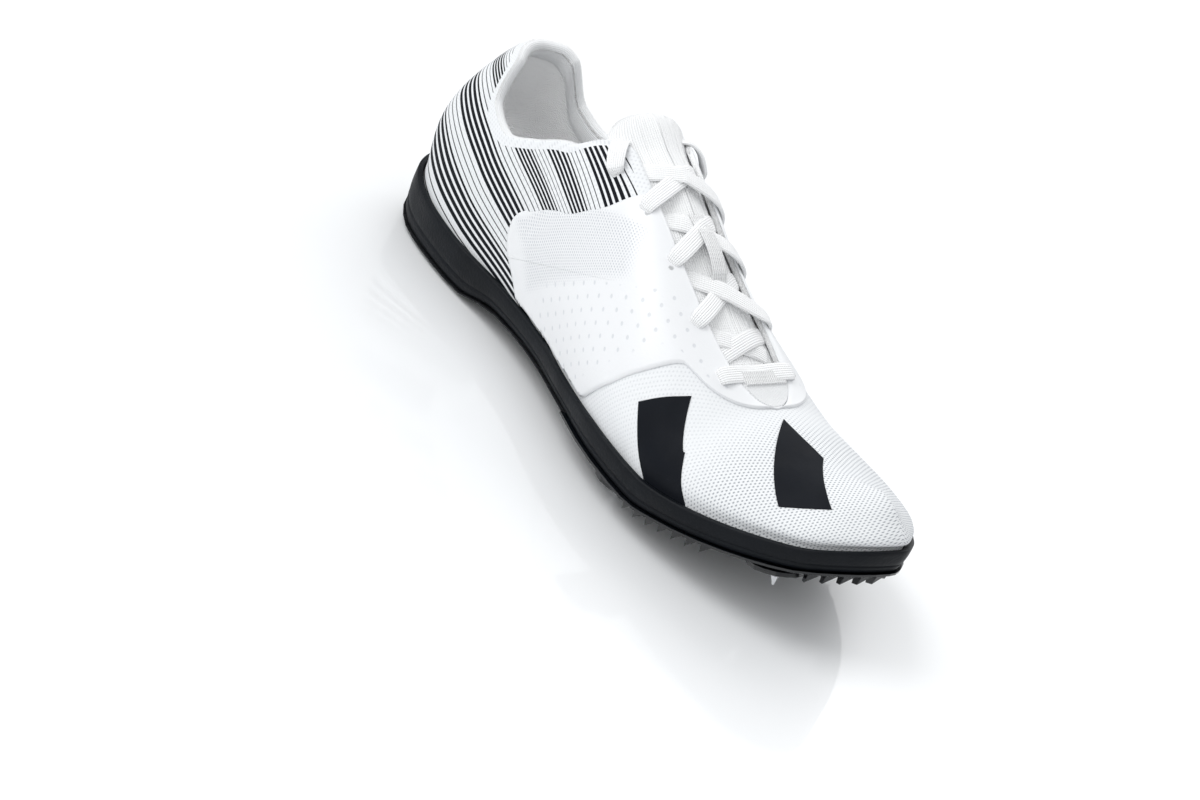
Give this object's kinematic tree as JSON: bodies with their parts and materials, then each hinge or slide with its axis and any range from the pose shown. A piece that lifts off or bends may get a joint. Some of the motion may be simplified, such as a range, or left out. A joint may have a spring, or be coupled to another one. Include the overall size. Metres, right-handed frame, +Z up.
{
  "type": "track spike shoe",
  "caption": "Right-foot track spike shoe: light mesh upper with smooth film eyestay saddle, foam midsole, stiff toothed forefoot plate with steel spikes, and a rubber heel.",
  "frame": {"origin": "centre of the shoe's plan on the floor it stands on", "axes": "+X from heel to toe, +Y to the medial (inner) side, +Z up"},
  "size_m": [0.278, 0.0956, 0.0989],
  "materials": {
    "white_mesh": "white engineered mesh with black printed heel stripes",
    "white_film": "thin white film, satin",
    "white_knit": "white ribbed knit",
    "white_lace": "flat white woven lace",
    "grey_lining": "light grey brushed lining",
    "black_foam": "black moulded foam, satin",
    "black_plate": "black hard plastic, glossy",
    "black_rubber": "black rubber, matt",
    "bright_steel": "bright plated steel"
  },
  "bodies": {
    "root": {"upper": "white_mesh", "eyestay_overlay": "white_film", "tongue": "white_knit", "tongue_lace_keeper": "white_lace", "insole": "grey_lining", "midsole": "black_foam", "spike_plate": "black_plate", "heel_outsole": "black_rubber", "seat_lateral_rear": "black_plate", "seat_lateral_front": "black_plate", "seat_medial_front": "black_plate", "seat_medial_rear": "black_plate", "spike_lateral_rear": "bright_steel", "spike_lateral_front": "bright_steel", "spike_medial_front": "bright_steel", "spike_medial_rear": "bright_steel", "lace_bar": "white_lace", "lace_crossing_1": "white_lace", "lace_crossing_2": "white_lace", "lace_crossing_3": "white_lace", "lace_crossing_4": "white_lace"}
  },
  "joints": []
}
